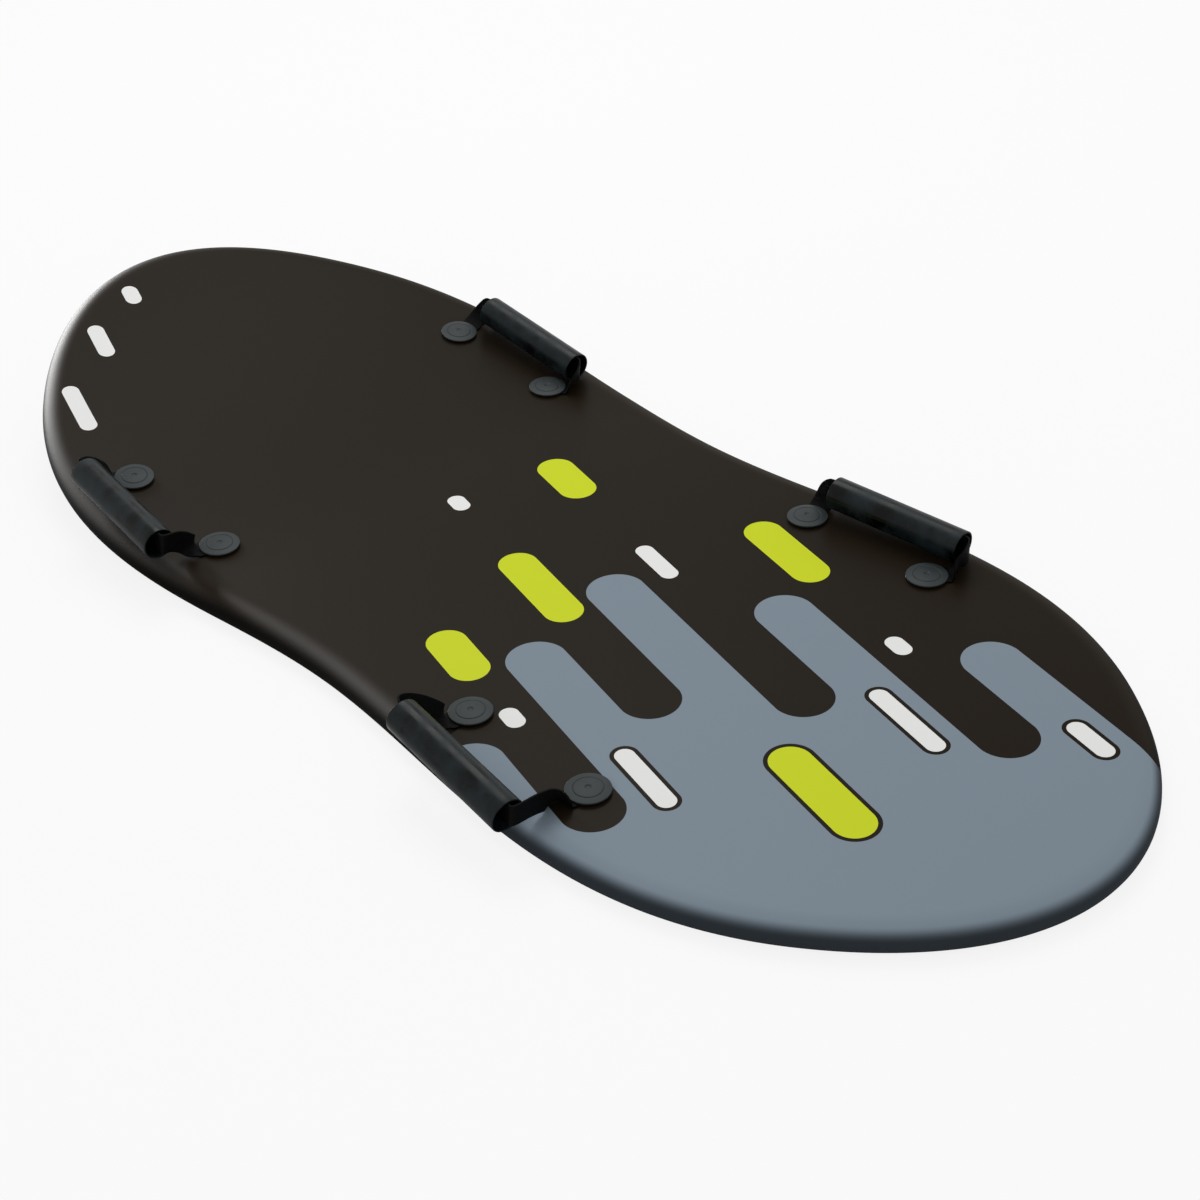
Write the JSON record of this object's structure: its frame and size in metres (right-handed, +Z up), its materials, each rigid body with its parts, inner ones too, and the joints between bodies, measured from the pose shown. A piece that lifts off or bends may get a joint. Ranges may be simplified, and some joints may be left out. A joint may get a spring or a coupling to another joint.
{
  "type": "snow surfer",
  "caption": "Waisted foam sliding board with an upturned nose and folding webbing handles in tubular grips, held by round caps through the board.",
  "frame": {"origin": "on the flat belly, midway along and across the board's outline as it was before the nose was bent up", "axes": "-Y along the board towards the upturned nose, +X to the rider's left, +Z up from the belly"},
  "size_m": [0.5254, 1.1846, 0.1032],
  "materials": {
    "foam": "matt closed-cell foam",
    "printed_skin": "printed film, satin",
    "slick_sheet": "smooth sheet, semi-gloss",
    "grey_plastic": "moulded, satin",
    "webbing": "woven",
    "vinyl": "soft vinyl tube, satin"
  },
  "bodies": {
    "board": {"foam_core": "foam", "deck_skin": "printed_skin", "slick_bottom": "slick_sheet", "cap_front_left_a": "grey_plastic", "cap_front_left_b": "grey_plastic", "cap_rear_left_a": "grey_plastic", "cap_rear_left_b": "grey_plastic", "cap_front_right_a": "grey_plastic", "cap_front_right_b": "grey_plastic", "cap_rear_right_a": "grey_plastic", "cap_rear_right_b": "grey_plastic", "button_front_left_a": "grey_plastic", "button_front_left_b": "grey_plastic", "button_rear_left_a": "grey_plastic", "button_rear_left_b": "grey_plastic", "button_front_right_a": "grey_plastic", "button_front_right_b": "grey_plastic", "button_rear_right_a": "grey_plastic", "button_rear_right_b": "grey_plastic"},
    "handle_front_left": {"strap_front_left": "webbing"},
    "grip_front_left": {"grip_front_left": "vinyl"},
    "handle_rear_left": {"strap_rear_left": "webbing"},
    "grip_rear_left": {"grip_rear_left": "vinyl"},
    "handle_front_right": {"strap_front_right": "webbing"},
    "grip_front_right": {"grip_front_right": "vinyl"},
    "handle_rear_right": {"strap_rear_right": "webbing"},
    "grip_rear_right": {"grip_rear_right": "vinyl"}
  },
  "joints": [
    {"name": "fold_front_left", "type": "hinge", "parent": "board", "child": "handle_front_left", "pos_m": [0.1895, -0.25952, 0.03083], "axis": [0, -0.995, 0.0998], "range_deg": [0, 130], "deforming": ["strap_front_left"]},
    {"name": "spin_front_left", "type": "hinge", "parent": "handle_front_left", "child": "grip_front_left", "pos_m": [0.23781, -0.26382, 0.05462], "axis": [0.0698, 0.9914, -0.1104], "continuous": true},
    {"name": "fold_rear_left", "type": "hinge", "parent": "board", "child": "handle_rear_left", "pos_m": [0.1895, 0.208, 0.023], "axis": [0, -1, 0], "range_deg": [0, 140], "deforming": ["strap_rear_left"]},
    {"name": "spin_rear_left", "type": "hinge", "parent": "handle_rear_left", "child": "grip_rear_left", "pos_m": [0.25524, 0.2036, 0.04602], "axis": [0.0623, 0.9895, -0.1305], "continuous": true},
    {"name": "fold_front_right", "type": "hinge", "parent": "board", "child": "handle_front_right", "pos_m": [-0.1895, -0.25952, 0.03083], "axis": [0, 0.995, -0.0998], "range_deg": [0, 125], "deforming": ["strap_front_right"]},
    {"name": "spin_front_right", "type": "hinge", "parent": "handle_front_right", "child": "grip_front_right", "pos_m": [-0.22052, -0.24811, 0.04593], "axis": [0.0139, 0.991, -0.1332], "continuous": true},
    {"name": "fold_rear_right", "type": "hinge", "parent": "board", "child": "handle_rear_right", "pos_m": [-0.1895, 0.208, 0.023], "axis": [0, 1, 0], "range_deg": [0, 110], "deforming": ["strap_rear_right"]},
    {"name": "spin_rear_right", "type": "hinge", "parent": "handle_rear_right", "child": "grip_rear_right", "pos_m": [-0.2196, 0.217, 0.03972], "axis": [-0.1131, 0.9925, -0.0471], "continuous": true}
  ]
}
